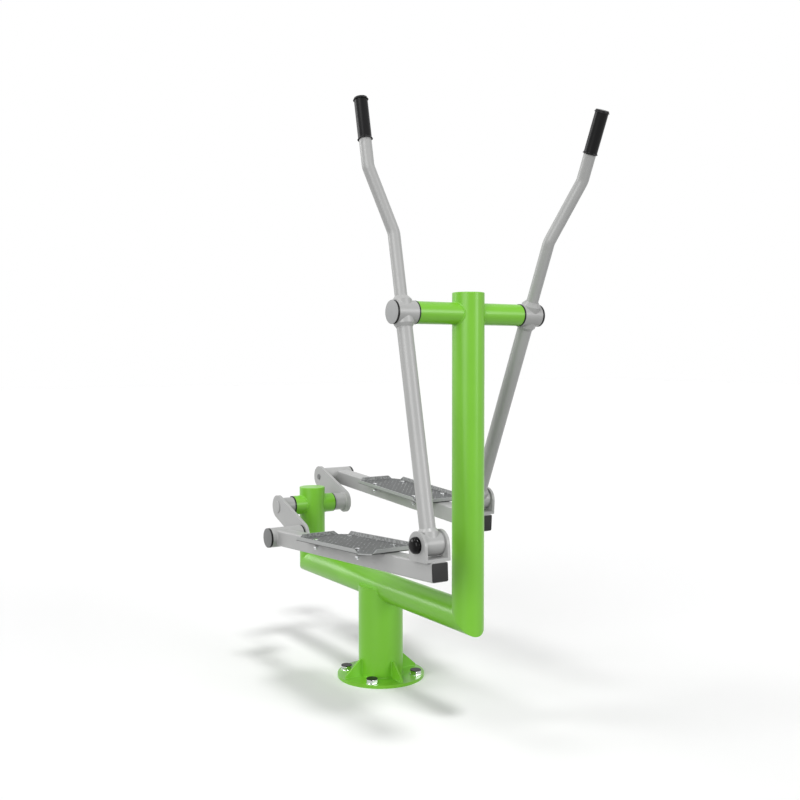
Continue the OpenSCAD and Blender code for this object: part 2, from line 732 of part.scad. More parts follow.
module footplate_lugs(s) color(grey) on_bar(s) translate([0, lever_y, plate_z - lug_t])
    for (x = bolt_xs, t = both) side(t) difference() {
        translate([x - lug_w / 2, bar_w / 2, 0]) cube([lug_w, lug_out - bar_w / 2, lug_t]);
        translate([x, bolt_pitch_y / 2, -over]) cylinder(r = bolt_d / 2 + bolt_c, h = lug_t + 2 * over);
    }

module footplate_bolts(s) color(zinc) on_bar(s) translate([0, lever_y, plate_z])
    for (x = bolt_xs, t = both) translate([x, t * bolt_pitch_y / 2, 0]) {
        translate([0, 0, plate_t]) hexagon(bolt_head_af, bolt_head_h);
        translate([0, 0, -lug_t - bolt_nut_h - bolt_tail])
            cylinder(d = bolt_d, h = lug_t + bolt_nut_h + bolt_tail + plate_t + bolt_head_h / 2);
        translate([0, 0, -lug_t - bolt_nut_h]) difference() {
            hexagon(bolt_head_af, bolt_nut_h);
            translate([0, 0, -over]) cylinder(r = bolt_d / 2 + run_c, h = bolt_nut_h + 2 * over);
        }
    }

module rear_housing(s) color(grey) on_bar(s) sleeve(house_d / 2, house_ri, house_y, house_end_y);

module crank_pin(s) color(zinc) on_bar(s) rod(pin_d / 2, pin_y, house_cap_y);

module pin_bearings(s) color(black) on_bar(s) {
    flanged_sleeve(house_d / 2, house_ri, pin_d / 2, pin_y, house_y, house_y + bearing_len);
    flanged_sleeve(house_d / 2, house_ri, pin_d / 2, house_cap_y, house_end_y, house_end_y - bearing_len);
}

module rear_cap(s) color(dark_grey) on_bar(s) rod(house_d / 2, house_cap_y, house_cap_y + house_cap_t);

base_flange();
base_gussets();
anchor_nuts();
column();
main_beam();
front_post();
rear_post();
closing_plates();
crossbar();
crossbar_plugs();
lever_shaft();
crank_housing();
crank_bearings();
crank_axle();
crank_arm(right);  // right_crank_arm
crank_arm(left);  // left_crank_arm
crank_hub(right);  // right_crank_hub
crank_hub(left);  // left_crank_hub
crank_end_caps();
crank_pin_ends();
lever_hub(right);  // right_lever_hub
lever_tube(right);  // right_lever_tube
handle_tube(right);  // right_handle_tube
tube_collars(right);  // right_tube_collars
grip(right);  // right_grip
lever_bearings(right);  // right_lever_bearings
hub_cap(right);  // right_hub_cap
fork_hub(right);  // right_fork_hub
lever_hub(left);  // left_lever_hub
lever_tube(left);  // left_lever_tube
handle_tube(left);  // left_handle_tube
tube_collars(left);  // left_tube_collars
grip(left);  // left_grip
lever_bearings(left);  // left_lever_bearings
hub_cap(left);  // left_hub_cap
fork_hub(left);  // left_fork_hub
pedal_bar(right);  // right_pedal_bar
footplate_lugs(right);  // right_footplate_lugs
bar_plug(right);  // right_bar_plug
clevis(right);  // right_clevis
fork_pin(right);  // right_fork_pin
fork_cap(right);  // right_fork_cap
footplate(right);  // right_footplate
footplate_bolts(right);  // right_footplate_bolts
rear_housing(right);  // right_rear_housing
crank_pin(right);  // right_crank_pin
pin_bearings(right);  // right_pin_bearings
rear_cap(right);  // right_rear_cap
pedal_bar(left);  // left_pedal_bar
footplate_lugs(left);  // left_footplate_lugs
bar_plug(left);  // left_bar_plug
clevis(left);  // left_clevis
fork_pin(left);  // left_fork_pin
fork_cap(left);  // left_fork_cap
footplate(left);  // left_footplate
footplate_bolts(left);  // left_footplate_bolts
rear_housing(left);  // left_rear_housing
crank_pin(left);  // left_crank_pin
pin_bearings(left);  // left_pin_bearings
rear_cap(left);  // left_rear_cap
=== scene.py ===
import json
import bmesh
import bpy
import numpy as np
from mathutils import Matrix


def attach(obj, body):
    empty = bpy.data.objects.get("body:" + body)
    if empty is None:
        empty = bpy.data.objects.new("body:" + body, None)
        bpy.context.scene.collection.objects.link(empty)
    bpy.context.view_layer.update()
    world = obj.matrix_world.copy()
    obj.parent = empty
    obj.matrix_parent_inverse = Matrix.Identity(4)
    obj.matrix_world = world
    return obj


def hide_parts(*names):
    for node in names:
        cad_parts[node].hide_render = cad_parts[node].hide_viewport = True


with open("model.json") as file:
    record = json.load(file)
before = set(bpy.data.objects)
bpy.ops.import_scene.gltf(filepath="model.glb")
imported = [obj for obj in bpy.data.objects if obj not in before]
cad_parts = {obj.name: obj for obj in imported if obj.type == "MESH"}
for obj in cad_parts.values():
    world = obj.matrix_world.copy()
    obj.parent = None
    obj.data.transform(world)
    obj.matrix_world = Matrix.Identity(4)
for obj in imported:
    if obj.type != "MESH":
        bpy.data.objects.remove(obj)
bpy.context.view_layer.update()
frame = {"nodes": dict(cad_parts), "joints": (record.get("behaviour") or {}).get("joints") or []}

print("frame loaded:", len(frame["nodes"]), "nodes")

# Outdoor cross trainer. Metres; +X points to the front post, +Y to the user's left, +Z up.

mm = 0.001

# Places that the pieces below are set to, in millimetres and degrees, as in the solid model
machine = dict(
    postX=465.7, crossbarZ=1124.0, rearX=-468.7, axleZ=487.0, beamZ=287.6, flangeTop=10.0, leverY=211.4,
    postRadius=44.45, crossbarRadius=30.15, housingRadius=32.9, columnRadius=69.85,
    crankRadius=198.0, crankPhase=20.3, pivotAlong=877.0, pivotAbove=67.0,
)
sides = {"right": -1, "left": 1}
joints = {j["name"]: np.array(j["pos_m"]) for j in frame["joints"]}


# Small tools

def addNode(tree, kind, inputs=None, **settings):
    # One shader node: settings are its own options, inputs are values or sockets to link
    node = tree.nodes.new(kind)
    for key, value in settings.items():
        setattr(node, key, value)
    for key, value in (inputs or {}).items():
        if isinstance(value, bpy.types.NodeSocket):
            tree.links.new(value, node.inputs[key])
        else:
            node.inputs[key].default_value = value
    return node


def hexColour(code):
    # sRGB hex code to linear colour
    srgb = np.array([int(code[i:i + 2], 16) for i in (1, 3, 5)]) / 255
    linear = np.where(srgb <= 0.04045, srgb / 12.92, ((srgb + 0.055) / 1.055) ** 2.4)
    return (*linear.tolist(), 1.0)


def fullTurn(count):
    # Equal angles once round, the last one short of the first
    return np.linspace(0, 2 * np.pi, count, endpoint=False)


def quarterTurn(count):
    # Equal angles from 0 to 90 degrees, both ends among them
    return np.linspace(0, np.pi / 2, count)


def axesAt(origin, xAxis, zAxis, side=1):
    # A place as a 3 x 4 array: x, y and z axes and the origin; y points away from the middle plane
    return np.stack([xAxis, [0, side, 0], zAxis, origin], axis=1)


def leverPlace(sideName):
    # On the crossbar's axis, z up the lever
    origin = np.array([machine["postX"], 0, machine["crossbarZ"]]) * mm
    up = (origin - joints[f"{sideName}_fork_pivot"]) * [1, 0, 1]
    up /= np.linalg.norm(up)
    return axesAt(origin, [up[2], 0, -up[0]], up, sides[sideName])


def crankPlace(sideName):
    # On the crank's axle, x towards the side's crank pin
    side = sides[sideName]
    phase = np.radians(machine["crankPhase"] + (180 if side > 0 else 0))
    axle = np.array([machine["rearX"], 0, machine["axleZ"]]) * mm
    return axesAt(axle, [np.cos(phase), 0, -np.sin(phase)], [np.sin(phase), 0, np.cos(phase)], side)


def barPlace(sideName):
    # On the crank pin's axis, x along the pedal bar
    crank = crankPlace(sideName)
    pin = crank[:, 3] + machine["crankRadius"] * mm * crank[:, 0]
    toFork = joints[f"{sideName}_fork_pivot"] - pin
    angle = np.arctan2(toFork[2], toFork[0]) - np.arctan2(machine["pivotAbove"], machine["pivotAlong"])
    return axesAt(pin, [np.cos(angle), 0, np.sin(angle)], [-np.sin(angle), 0, np.cos(angle)], sides[sideName])


worldPlace = axesAt([0, 0, 0], [1, 0, 0], [0, 0, 1])


def bothCranks(shell):
    # The same shell at the right and the left crank, brought to the world's axes, in millimetres
    places = [crankPlace(sideName) for sideName in sides]
    return [(shell[0] @ place[:, :3].T + place[:, 3] / mm, shell[1]) for place in places]


def gridShell(points, caps=False):
    # A grid of points, rows by columns by 3, as vertices and four-sided faces; the last column joins the first
    rows, cols = points.shape[:2]
    r, c = np.arange(rows - 1)[:, None], np.arange(cols)[None, :]
    n = (c + 1) % cols
    faces = np.stack([r * cols + c, r * cols + n, (r + 1) * cols + n, (r + 1) * cols + c], axis=-1)
    faces = faces.reshape(-1, 4).tolist()
    if caps:
        faces += [np.arange(cols)[::-1].tolist(), (np.arange(cols) + (rows - 1) * cols).tolist()]
    return points.reshape(-1, 3), faces


def revolve(profile, centre=(0, 0, 0), axis="y", facets=64):
    # A profile of (radius, height) turned round y or z: point = (radius cos a, radius sin a, height)
    turn = fullTurn(facets)
    radius, height = np.asarray(profile, float).T[..., None]
    across, up, along = radius * np.cos(turn), radius * np.sin(turn), height + 0 * turn
    points = np.stack([across, along, up] if axis == "y" else [across, up, along], axis=-1)
    return gridShell(points + np.asarray(centre, float))


def sweep(path, radius, reference, facets, closed):
    # A round section carried along a path: point = path + radius (n cos a + b sin a),
    # where n is square to the path and the reference, and b to n and the path
    path = np.asarray(path, float)
    if closed:
        tangent = np.roll(path, -1, axis=0) - np.roll(path, 1, axis=0)
    else:
        tangent = np.gradient(path, axis=0)
    tangent /= np.linalg.norm(tangent, axis=1, keepdims=True)
    normal = np.cross(tangent, np.asarray(reference, float))
    normal /= np.linalg.norm(normal, axis=1, keepdims=True)
    across = np.cross(normal, tangent)
    turn = fullTurn(facets)[None, :, None]
    ring = np.cos(turn) * normal[:, None] + np.sin(turn) * across[:, None]
    points = path[:, None] + radius[:, None, None] * ring
    if closed:
        points = np.concatenate([points, points[:1]])
    return gridShell(points)


# Points nearer than merge are one point, and edges shorter than sliver go
meshSettings = dict(merge=0.004, sliver=0.002)


def makePiece(name, shells, material, body, sharpAngle, place=worldPlace, replaced=()):
    # Shells are in millimetres at a place: point = place's axes times the shell's point, plus the origin
    points = np.concatenate([s[0] for s in shells]) * mm
    starts = np.cumsum([0] + [len(s[0]) for s in shells])
    faces = [[k + start for k in face] for start, s in zip(starts, shells) for face in s[1]]
    mesh = bpy.data.meshes.new(name)
    mesh.from_pydata((points @ place[:, :3].T + place[:, 3]).tolist(), [], faces)
    work = bmesh.new()
    work.from_mesh(mesh)
    bmesh.ops.remove_doubles(work, verts=work.verts, dist=meshSettings["merge"] * mm)
    bmesh.ops.dissolve_degenerate(work, edges=work.edges, dist=meshSettings["sliver"] * mm)
    bmesh.ops.recalc_face_normals(work, faces=work.faces)
    work.to_mesh(mesh)
    work.free()
    mesh.polygons.foreach_set("use_smooth", np.ones(len(mesh.polygons), bool))
    mesh.set_sharp_from_angle(angle=np.radians(sharpAngle))
    mesh.materials.append(material)
    piece = bpy.data.objects.new(name, mesh)
    bpy.context.scene.collection.objects.link(piece)
    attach(piece, body)
    if replaced:
        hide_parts(*replaced)
    return piece


def makeSidePiece(sideName, name, shells, material, link, slotName, sharpAngle, *replaced):
    # A piece on one side's lever or pedal; the side's name goes before its own and before the nodes it replaces
    place = {"lever": leverPlace, "pedal": barPlace}[link](sideName)
    return makePiece(f"{sideName}_{name}", shells, material, f"{sideName}_{link}", sharpAngle, place,
                     [f"{sideName}_{node}" for node in replaced])


# Materials

def startMaterial(name):
    # A new material, its tree, its shader and the object's own coordinates
    material = bpy.data.materials.new(name)
    material.use_nodes = True
    tree = material.node_tree
    return material, tree, tree.nodes["Principled BSDF"], addNode(tree, "ShaderNodeTexCoord").outputs["Object"]


def powderCoat(name, look):
    # Polyester powder coat, sprayed and baked: satin gloss over a fine orange peel, in a drifting colour
    material, tree, shader, spot = startMaterial(name)
    drift = addNode(tree, "ShaderNodeTexNoise",
                    {"Vector": spot, "Scale": 1 / (look["driftSize"] * mm), "Detail": 3.0}).outputs["Fac"]
    colour = addNode(tree, "ShaderNodeMix",
                     {"Factor": drift, "A": hexColour(look["dark"]), "B": hexColour(look["light"])},
                     data_type="RGBA")
    tree.links.new(colour.outputs["Result"], shader.inputs["Base Color"])
    gloss = addNode(tree, "ShaderNodeMapRange",
                    {"Value": drift, "To Min": look["roughness"][0], "To Max": look["roughness"][1]})
    tree.links.new(gloss.outputs["Result"], shader.inputs["Roughness"])
    peel = addNode(tree, "ShaderNodeTexNoise",
                   {"Vector": spot, "Scale": 1 / (look["peelSize"] * mm), "Detail": 2.0})
    bump = addNode(tree, "ShaderNodeBump",
                   {"Height": peel.outputs["Fac"], "Distance": look["peelDepth"] * mm, "Strength": 1.0})
    tree.links.new(bump.outputs["Normal"], shader.inputs["Normal"])
    shader.inputs["IOR"].default_value = 1.5  # polyester resin
    shader.inputs["Specular IOR Level"].default_value = look["specular"]
    return material


# Sizes in millimetres. A real coat's peel is 1 to 2 mm across, and is drawn a little coarser so that it shows
limeLook = dict(dark="#6FB627", light="#79C031", driftSize=180, roughness=(0.30, 0.36),
                peelSize=2.5, peelDepth=0.02, specular=0.5)
greyLook = dict(dark="#9FA09F", light="#AAAAA9", driftSize=140, roughness=(0.30, 0.36),
                peelSize=2.5, peelDepth=0.02, specular=0.5)
hubCapLook = dict(dark="#989999", light="#A0A1A1", driftSize=60, roughness=(0.40, 0.48),
                  peelSize=2.2, peelDepth=0.02, specular=0.35)
rearCapLook = dict(dark="#6C6D6D", light="#747575", driftSize=60, roughness=(0.42, 0.50),
                   peelSize=2.2, peelDepth=0.02, specular=0.3)
panLook = dict(dark="#A0A2A1", light="#AAACAB", driftSize=90, roughness=(0.38, 0.46),
               peelSize=2.5, peelDepth=0.02, specular=0.35)
# Painted shade where the pans' faces look down, by the z of the surface's own direction
undersideShadeLook = dict(paintedShade="#343535", startZ=-0.4, fullZ=-0.6)  # by the z of the surface's own direction

limeGreenPowderCoat = powderCoat("lime green powder coat", limeLook)
greyPowderCoat = powderCoat("silver grey powder coat", greyLook)
hubCapPaint = powderCoat("grey painted steel cap", hubCapLook)
rearCapPaint = powderCoat("darker grey painted steel cap", rearCapLook)
panPowderCoat = powderCoat("grey powder coat on sheet steel", panLook)


def paintUndersideShade(material, look):
    # Painted shade: the coat's colour goes dark where the pans' faces look down, on the undersides and the
    # outsides of bends
    tree = material.node_tree
    shader = tree.nodes["Principled BSDF"]
    coat = shader.inputs["Base Color"].links[0].from_socket
    direction = addNode(tree, "ShaderNodeTexCoord").outputs["Normal"]
    height = addNode(tree, "ShaderNodeSeparateXYZ", {"Vector": direction}).outputs["Z"]
    low = addNode(tree, "ShaderNodeMapRange",
                  {"Value": height, "From Min": look["startZ"], "From Max": look["fullZ"]})
    colour = addNode(tree, "ShaderNodeMix",
                     {"Factor": low.outputs["Result"], "A": coat, "B": hexColour(look["paintedShade"])},
                     data_type="RGBA")
    tree.links.new(colour.outputs["Result"], shader.inputs["Base Color"])


# Painted shade on the pans' undersides and the outsides of their bends
paintUndersideShade(panPowderCoat, undersideShadeLook)


# Sizes in millimetres. Grit of about 1 mm is drawn at 1.8 mm so that it shows
gritLook = dict(
    ground="#3B3D3D", grit="#555757", gritSize=1.8, gritDepth=0.12, gritStrength=0.6, roughness=0.55,
    worn="#C0C2C1", tearFoot=0.15, tearTop=0.9, patchSize=7.0, patch=(0.42, 0.58), patchLeast=0.3,
)


def antiSlipCoat(look):
    # Steel tread plate under a gritty dark grey coat, worn paler in patches on the tops of the raised tears
    material, tree, shader, spot = startMaterial("grey tread plate with a gritty coat")
    grit = addNode(tree, "ShaderNodeTexNoise",
                   {"Vector": spot, "Scale": 1 / (look["gritSize"] * mm), "Detail": 4.0,
                    "Roughness": 0.6}).outputs["Fac"]
    base = addNode(tree, "ShaderNodeMix",
                   {"Factor": grit, "A": hexColour(look["ground"]), "B": hexColour(look["grit"])},
                   data_type="RGBA")
    height = addNode(tree, "ShaderNodeAttribute", attribute_name="tearHeight").outputs["Fac"]
    wear = addNode(tree, "ShaderNodeMapRange",
                   {"Value": height, "From Min": look["tearFoot"], "From Max": look["tearTop"]})
    patches = addNode(tree, "ShaderNodeTexNoise",
                      {"Vector": spot, "Scale": 1 / (look["patchSize"] * mm), "Detail": 2.0}).outputs["Fac"]
    patchy = addNode(tree, "ShaderNodeMapRange",
                     {"Value": patches, "From Min": look["patch"][0], "From Max": look["patch"][1],
                      "To Min": look["patchLeast"]})
    worn = addNode(tree, "ShaderNodeMath", {0: wear.outputs["Result"], 1: patchy.outputs["Result"]},
                   operation="MULTIPLY")
    colour = addNode(tree, "ShaderNodeMix",
                     {"Factor": worn.outputs[0], "A": base.outputs["Result"], "B": hexColour(look["worn"])},
                     data_type="RGBA")
    tree.links.new(colour.outputs["Result"], shader.inputs["Base Color"])
    shader.inputs["Roughness"].default_value = look["roughness"]
    bump = addNode(tree, "ShaderNodeBump",
                   {"Height": grit, "Distance": look["gritDepth"] * mm, "Strength": look["gritStrength"]})
    tree.links.new(bump.outputs["Normal"], shader.inputs["Normal"])
    return material


zincLook = dict(dark="#D2D4D5", light="#E8EAEB", cellSize=3.0, roughness=(0.06, 0.16))


def zincPlate(look):
    # Bright zinc plated steel: nearly a mirror, with faint cloudy cells drawn at 3 mm so that they show
    material, tree, shader, spot = startMaterial("bright zinc plated steel")
    cells = addNode(tree, "ShaderNodeTexVoronoi",
                    {"Vector": spot, "Scale": 1 / (look["cellSize"] * mm)}).outputs["Distance"]
    colour = addNode(tree, "ShaderNodeMix",
                     {"Factor": cells, "A": hexColour(look["light"]), "B": hexColour(look["dark"])},
                     data_type="RGBA")
    tree.links.new(colour.outputs["Result"], shader.inputs["Base Color"])
    gloss = addNode(tree, "ShaderNodeMapRange",
                    {"Value": cells, "To Min": look["roughness"][0], "To Max": look["roughness"][1]})
    tree.links.new(gloss.outputs["Result"], shader.inputs["Roughness"])
    shader.inputs["Metallic"].default_value = 1.0
    return material


def mouldedBlack(name, look):
    # Moulded plastic or rubber: an even colour with a fine mould grain
    material, tree, shader, spot = startMaterial(name)
    grain = addNode(tree, "ShaderNodeTexNoise",
                    {"Vector": spot, "Scale": 1 / (look["grainSize"] * mm), "Detail": 3.0}).outputs["Fac"]
    colour = addNode(tree, "ShaderNodeMix",
                     {"Factor": grain, "A": hexColour(look["dark"]), "B": hexColour(look["light"])},
                     data_type="RGBA")
    tree.links.new(colour.outputs["Result"], shader.inputs["Base Color"])
    shader.inputs["Roughness"].default_value = look["roughness"]
    shader.inputs["IOR"].default_value = look["ior"]
    shader.inputs["Specular IOR Level"].default_value = look["specular"]
    bump = addNode(tree, "ShaderNodeBump",
                   {"Height": grain, "Distance": look["grainDepth"] * mm, "Strength": 0.5})
    tree.links.new(bump.outputs["Normal"], shader.inputs["Normal"])
    return material


# Sizes in millimetres
nylonLook = dict(dark="#0F0F0F", light="#161616", grainSize=1.5, grainDepth=0.02,
                 roughness=0.42, ior=1.53, specular=0.2)
plugLook = dict(dark="#262626", light="#2D2D2D", grainSize=1.2, grainDepth=0.03,
                roughness=0.5, ior=1.51, specular=0.2)
domeLook = dict(dark="#030303", light="#050505", grainSize=8.0, grainDepth=0.01,
                roughness=0.10, ior=1.53, specular=0.12)
rubberLook = dict(dark="#09090A", light="#0F0F10", grainSize=1.2, grainDepth=0.03,
                  roughness=0.34, ior=1.52, specular=0.15)

blackNylon = mouldedBlack("black nylon bearing", nylonLook)
blackPlastic = mouldedBlack("black polyethylene plug", plugLook)
glossBlackPlastic = mouldedBlack("glossy black nylon cap", domeLook)
gripRubber = mouldedBlack("black grip rubber", rubberLook)
treadCoat = antiSlipCoat(gritLook)
brightZinc = zincPlate(zincLook)
print("materials ready")

# Finishes of the nodes that stay as they are
finishes = {
    "base_flange base_gussets column main_beam front_post rear_post closing_plates": limeGreenPowderCoat,
    "crossbar crossbar_plugs crank_housing": limeGreenPowderCoat,
    "right_crank_arm left_crank_arm right_crank_hub left_crank_hub crank_end_caps": greyPowderCoat,
    "crank_pin_ends": rearCapPaint,
    "crank_bearings": blackNylon,
    "anchor_nuts lever_shaft crank_axle": brightZinc,
}
# The same for nodes that are on both sides
sideFinishes = {
    "lever_hub lever_tube handle_tube tube_collars fork_hub": greyPowderCoat,
    "pedal_bar footplate_lugs clevis rear_housing": greyPowderCoat,
    "footplate": panPowderCoat,
    "hub_cap": hubCapPaint,
    "rear_cap": rearCapPaint,
    "lever_bearings pin_bearings": blackNylon,
    "bar_plug": blackPlastic,
    "fork_cap": glossBlackPlastic,
    "grip": gripRubber,
    "fork_pin footplate_bolts crank_pin": brightZinc,
}
finished = [(name, coat) for names, coat in finishes.items() for name in names.split()]
finished += [(f"{sideName}_{name}", coat) for names, coat in sideFinishes.items() for name in names.split()
             for sideName in sides]
for nodeName, coat in finished:
    for nodeSlot in frame["nodes"][nodeName].material_slots:
        nodeSlot.material = coat


# Grips: a rubber sleeve with a rounded closed end and two thin flared lips

gripSettings = dict(
    centreY=268.2, foot=467.5, length=117.0, tubeRadius=16.9, boreTop=113.4, radius=18.35,
    endReach=2.52, endRound=1.8, lipRadius=20.7, lipHeight=5.0, lipWall=1.0, upperLip=110.0, flare=1.6,
    tipInset=0.35, tipRise=0.45, tipTop=0.9, lipSteps=9, endSteps=10, facets=72,
)


def flaredLip(foot, g):
    # Down the underside to the tip and up again:
    # radius = sleeve + reach t^flare, height = foot + lip height (1 - t)
    t = np.linspace(0, 1, g["lipSteps"])
    reach, curve = g["lipRadius"] - g["radius"], t ** g["flare"]
    under = np.stack([g["radius"] + (reach - g["lipWall"]) * curve,
                      foot + (g["lipHeight"] - g["lipWall"]) * (1 - t)], axis=1)
    tip = [[g["lipRadius"] - g["tipInset"], foot], [g["lipRadius"], foot + g["tipRise"]]]
    over = np.stack([g["radius"] + reach * curve,
                     foot + g["tipTop"] + (g["lipHeight"] - g["tipTop"]) * (1 - t)], axis=1)
    return np.concatenate([under, tip, over[::-1]])


def gripShell(g):
    # Down the bore, over both lips, then round the end:
    # radius = sleeve - end reach (1 - cos a), height = length - end round (1 - sin a)
    a = quarterTurn(g["endSteps"])
    bore = [[0, g["boreTop"]], [g["tubeRadius"], g["boreTop"]],
            [g["tubeRadius"], g["lipHeight"] - g["lipWall"]]]
    end = np.stack([g["radius"] - g["endReach"] * (1 - np.cos(a)),
                    g["length"] - g["endRound"] * (1 - np.sin(a))], axis=1)
    top = [[(g["radius"] - g["endReach"]) / 2, g["length"]], [0, g["length"]]]
    profile = np.concatenate([bore, flaredLip(0.0, g), flaredLip(g["upperLip"], g), end, top])
    return revolve(profile, (0, g["centreY"], g["foot"]), axis="z", facets=g["facets"])


for sideName in sides:
    makeSidePiece(sideName, "rubber_grip", [gripShell(gripSettings)], gripRubber,
                  "lever", "grip_rubber", 40, "grip")
print("grips made")


# Caps: discs with a rounded rim, and the fork pins' domed caps

# Each disc is its radius, inner y and outer y; the dome's foot is measured from the bar's middle
discSettings = dict(hub=(31.5, 245.4, 246.5), housing=(31.75, 258.3, 259.4), axle=(21.5, 135.8, 138.8),
                    rim=0.6, steps=6)
domeSettings = dict(foot=38.0, radius=22.0, height=17.0, power=0.67,
                    cavityRadius=17.4, cavityDepth=8.1, steps=24)


def discShell(name):
    # A flat disc whose outer rim is a quarter circle:
    # radius = disc - rim (1 - cos a), y = outer - rim (1 - sin a)
    radius, inner, outer = discSettings[name]
    rim, a = discSettings["rim"], quarterTurn(discSettings["steps"])
    edge = np.stack([radius - rim * (1 - np.cos(a)), outer - rim * (1 - np.sin(a))], axis=1)
    return revolve(np.concatenate([[[0, inner], [radius, inner]], edge, [[0, outer]]]))


def domeShell(d):
    # radius = R cos(a)^power, height = H sin(a)^power, over the hollow for the nut
    a = quarterTurn(d["steps"])
    hollow = [[0, d["cavityDepth"]], [d["cavityRadius"], d["cavityDepth"]], [d["cavityRadius"], 0]]
    dome = np.stack([d["radius"] * np.cos(a) ** d["power"], d["height"] * np.sin(a) ** d["power"]], axis=1)
    centre = (machine["pivotAlong"], machine["leverY"] + d["foot"], machine["pivotAbove"])
    return revolve(np.concatenate([hollow, dome]), centre)


for sideName in sides:
    makeSidePiece(sideName, "hub_disc", [discShell("hub")], hubCapPaint,
                  "lever", "dark_grey_paint", 60, "hub_cap")
    makeSidePiece(sideName, "housing_disc", [discShell("housing")], rearCapPaint,
                  "pedal", "dark_grey_paint", 60, "rear_cap")
    makeSidePiece(sideName, "pin_dome", [domeShell(domeSettings)], glossBlackPlastic,
                  "pedal", "black_plastic", 50, "fork_cap")
makePiece("axle_discs", bothCranks(discShell("axle")), greyPowderCoat, "crank", 60,
          replaced=["crank_end_caps"])
print("caps made")


# End plugs of the pedal bars: a rounded square head with a softened rim over a socket

plugSettings = dict(start=899.0, end=921.0, socketHalf=21.9, socketCorner=2.0, headHalf=23.5, headCorner=3.6,
                    head=2.5, rim=0.9, cornerRim=0.72, steps=5)


def roundedSquare(half, radius, perCorner=7):
    # Corner arcs of a square, as (y, z) round its centre: point = corner's centre + radius (cos a, sin a)
    quarter = np.arange(4)[:, None] * np.pi / 2
    a, corner = quarter + quarterTurn(perCorner), quarter + np.pi / 4
    out = (half - radius) * np.sqrt(2)
    y, z = out * np.cos(corner) + radius * np.cos(a), out * np.sin(corner) + radius * np.sin(a)
    return np.stack([y.ravel(), z.ravel()], axis=1)


def plugShell(p):
    # Rings of (along, half width, corner radius): the socket's two, then the head's, whose rim is a quarter
    # circle: along = end + head - rim (1 - sin a), half = head half - rim (1 - cos a)
    a = quarterTurn(p["steps"])
    foot = [[p["start"], p["socketHalf"], p["socketCorner"]], [p["end"], p["socketHalf"], p["socketCorner"]],
            [p["end"], p["headHalf"], p["headCorner"]]]
    rim = np.stack([p["end"] + p["head"] - p["rim"] * (1 - np.sin(a)),
                    p["headHalf"] - p["rim"] * (1 - np.cos(a)),
                    p["headCorner"] - p["cornerRim"] * (1 - np.cos(a))], axis=1)
    rings = []
    for along, half, corner in np.concatenate([foot, rim]):
        y, z = roundedSquare(half, corner).T
        rings.append(np.stack([np.full(len(y), along), y + machine["leverY"], z], axis=1))
    return gridShell(np.array(rings), caps=True)


for sideName in sides:
    makeSidePiece(sideName, "square_plug", [plugShell(plugSettings)], blackPlastic,
                  "pedal", "black_plastic", 40, "bar_plug")
print("plugs made")


# Hexagons with chamfered corners: anchor nuts and the footplates' bolts

hexSettings = dict(faceRatio=0.475, slope=30.0, steps=6, facets=72)


def hexRings(flats, z0, z1, bothEnds=False):
    # radius = the smaller of the hexagon's, flats / 2 / cos a, and a 30 degree cone's,
    # so each flat ends in an arc
    turn = fullTurn(hexSettings["facets"])
    hexagon = flats / 2 / np.cos((turn + np.pi / 6) % (np.pi / 3) - np.pi / 6)
    faceRadius = hexSettings["faceRatio"] * flats
    slope = np.tan(np.radians(hexSettings["slope"]))
    drop = np.linspace((hexagon.max() - faceRadius) * slope, 0, hexSettings["steps"])
    z = np.concatenate([z0 + drop[::-1] if bothEnds else [z0], z1 - drop])[:, None]
    cone = faceRadius + (z1 - z) / slope
    if bothEnds:
        cone = np.minimum(cone, faceRadius + (z - z0) / slope)
    radius = np.minimum(hexagon, cone)
    return np.stack([radius * np.cos(turn), radius * np.sin(turn), z + 0 * turn], axis=-1)


# The plug sizes give a black disc on each nut's top: a painted dark reflection in the polished zinc
nutSettings = dict(
    count=4, firstAngle=45.0, circle=112.5, flats=32.0, height=15.0, washerRadius=18.4, washer=2.0,
    washerEdge=0.8, darkTopRadius=17.4, plug=1.5, darkTopSink=0.5, darkTopEdge=0.3, facets=48,
)


def chamferedDisc(radius, bottom, top, edge, centre):
    # A flat disc round z whose upper rim is cut at 45 degrees
    profile = [[0, bottom], [radius, bottom], [radius, top - edge], [radius - edge, top], [0, top]]
    return revolve(profile, centre, axis="z", facets=nutSettings["facets"])


def anchorNuts(n):
    # A washer, a nut and a black disc on the nut's top, a painted dark reflection in the polished top, at equal
    # angles on the flange: centre = circle (cos a, sin a)
    steel, plugs = [], []
    darkTopFoot = n["height"] - n["plug"]
    for angle in np.radians(n["firstAngle"]) + fullTurn(n["count"]):
        centre = np.array([n["circle"] * np.cos(angle), n["circle"] * np.sin(angle), machine["flangeTop"]])
        steel.append(chamferedDisc(n["washerRadius"], 0, n["washer"], n["washerEdge"], centre))
        steel.append(gridShell(hexRings(n["flats"], n["washer"], darkTopFoot) + centre, caps=True))
        plugs.append(chamferedDisc(n["darkTopRadius"], darkTopFoot - n["darkTopSink"], n["height"], n["darkTopEdge"],
                                   centre))
    return steel, plugs


nutShells, nutDarkTops = anchorNuts(nutSettings)
makePiece("chamfered_anchor_nuts", nutShells, brightZinc, "frame", 30, replaced=["anchor_nuts"])
# Black discs on the nuts' tops: a painted dark reflection in the polished zinc
makePiece("anchor_nut_dark_tops", nutDarkTops, blackNylon, "frame", 30)

boltSettings = dict(
    along=(361.0, 607.5), across=57.0, flats=13.0, head=5.3, nut=6.8, radius=4.0, seat=28.0, under=14.0,
    tail=5.0, tip=1.0, pitch=1.25, thread=0.45, facets=24,
)


